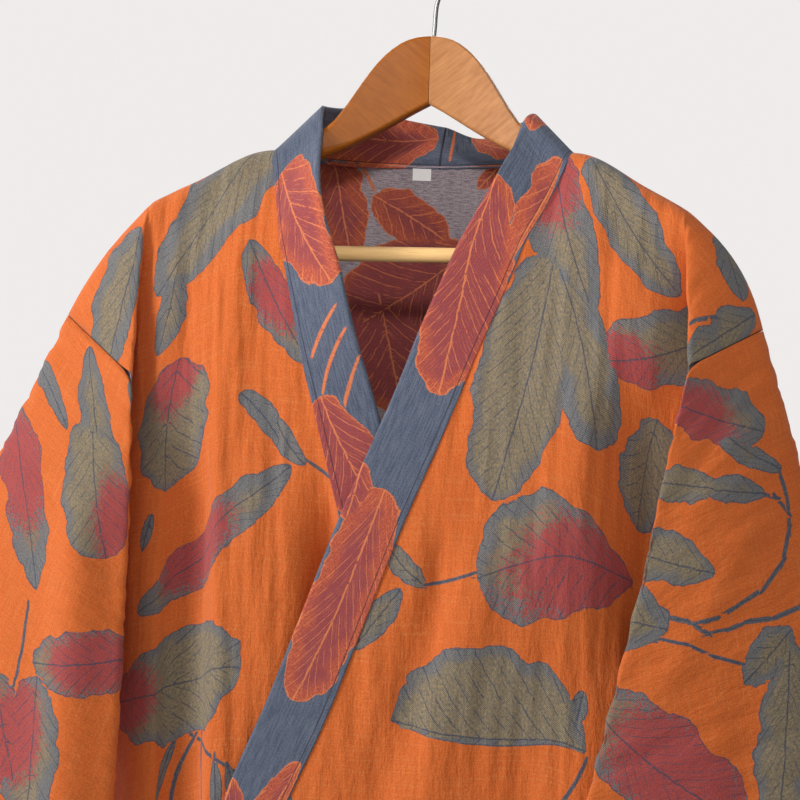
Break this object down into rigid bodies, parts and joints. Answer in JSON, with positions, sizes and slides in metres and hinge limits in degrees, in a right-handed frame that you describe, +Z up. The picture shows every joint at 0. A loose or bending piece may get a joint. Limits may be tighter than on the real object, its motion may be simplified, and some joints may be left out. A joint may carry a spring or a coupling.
{
  "type": "kimono robe on hanger",
  "caption": "Woven cotton kimono robe with wide sleeves and a lapped front, hanging open at the neck, cuffs and hem on a wooden clothes hanger with a wire hook.",
  "frame": {"origin": "inner top of the hanger's hook, where it hangs on a rail", "axes": "+Z up, the front faces -Y, +X towards the wearer's left"},
  "size_m": [0.8477, 0.2023, 1.3322],
  "materials": {
    "jacquard_face": "woven orange cloth with blue-grey, olive and red leaves",
    "jacquard_reverse": "reverse of the same cloth, slate blue with red and orange leaves",
    "label": "plain white woven tag",
    "wood": "varnished honey wood",
    "bar_wood": "varnished pale wood",
    "steel": "bright wire"
  },
  "bodies": {
    "root": {"back": "jacquard_face", "front_right": "jacquard_face", "front_left": "jacquard_face", "sleeve_right": "jacquard_face", "sleeve_left": "jacquard_face", "collar_right": "jacquard_reverse", "collar_left": "jacquard_reverse", "size_tag": "label", "hanger_arm_right": "wood", "hanger_arm_left": "wood", "hanger_bar": "bar_wood", "hanger_hook": "steel"}
  },
  "joints": []
}
